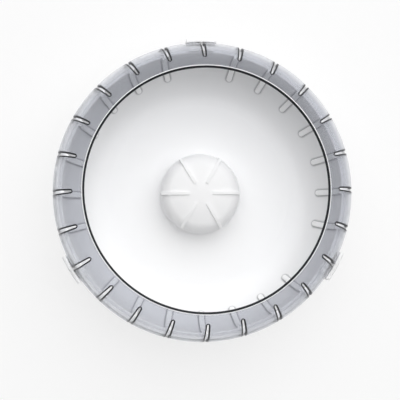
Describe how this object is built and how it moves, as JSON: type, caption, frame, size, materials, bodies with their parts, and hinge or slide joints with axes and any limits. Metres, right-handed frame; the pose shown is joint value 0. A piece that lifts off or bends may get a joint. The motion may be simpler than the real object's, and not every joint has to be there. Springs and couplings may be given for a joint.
{
  "type": "rodent exercise wheel",
  "caption": "Round running wheel for a small rodent: a white moulded bowl with a slotted smoke-clear front ring, turning on ball bearings and a screw-on wall plate.",
  "frame": {"origin": "on the wheel's axis, in the rear face of the wall plate, at the centre of its circle of screw holes", "axes": "+Z along the wheel's axis out of the open side, +Y through the first lock clip and the first screw hole, X across; the part lies on its back as in the picture, and on a wall +Z points into the cage"},
  "size_m": [0.22, 0.2232, 0.098],
  "materials": {
    "white_plastic": "smooth moulded, semi-gloss",
    "smoke_clear": "clear moulded, polished, faint grey-lavender tint",
    "plate_plastic": "fine moulded grain",
    "bearing_steel": "ground and polished",
    "cage_steel": "pressed sheet, satin",
    "zinc_steel": "bright zinc plated",
    "nylon": "natural nylon"
  },
  "bodies": {
    "mount": {"wall_plate": "plate_plastic", "spindle_bolt": "zinc_steel", "bearing_spacer": "zinc_steel", "spindle_washer": "zinc_steel", "lock_nut": "zinc_steel", "lock_nut_insert": "nylon", "rear_bearing_inner_ring": "bearing_steel", "front_bearing_inner_ring": "bearing_steel"},
    "wheel": {"back_shell": "white_plastic", "front_cover": "smoke_clear", "hub_cap": "white_plastic", "lock_clip_1": "white_plastic", "lock_clip_2": "white_plastic", "lock_clip_3": "white_plastic", "rear_bearing_outer_ring": "bearing_steel", "rear_bearing_shields": "cage_steel", "front_bearing_outer_ring": "bearing_steel", "front_bearing_shields": "cage_steel"},
    "rear_ball_cage": {"rear_bearing_cage": "cage_steel", "rear_bearing_balls": "bearing_steel"},
    "front_ball_cage": {"front_bearing_cage": "cage_steel", "front_bearing_balls": "bearing_steel"}
  },
  "joints": [
    {"name": "wheel_spin", "type": "hinge", "parent": "mount", "child": "wheel", "pos_m": [0, 0, 0.01725], "axis": [0, 0, 1], "continuous": true},
    {"name": "rear_cage_roll", "type": "hinge", "parent": "mount", "child": "rear_ball_cage", "pos_m": [0, 0, 0.013], "axis": [0, 0, 1], "continuous": true},
    {"name": "front_cage_roll", "type": "hinge", "parent": "mount", "child": "front_ball_cage", "pos_m": [0, 0, 0.0215], "axis": [0, 0, 1], "continuous": true}
  ],
  "couplings": [
    {"joint": "rear_cage_roll", "follows": "wheel_spin", "ratio": 0.6323},
    {"joint": "front_cage_roll", "follows": "wheel_spin", "ratio": 0.6323}
  ]
}
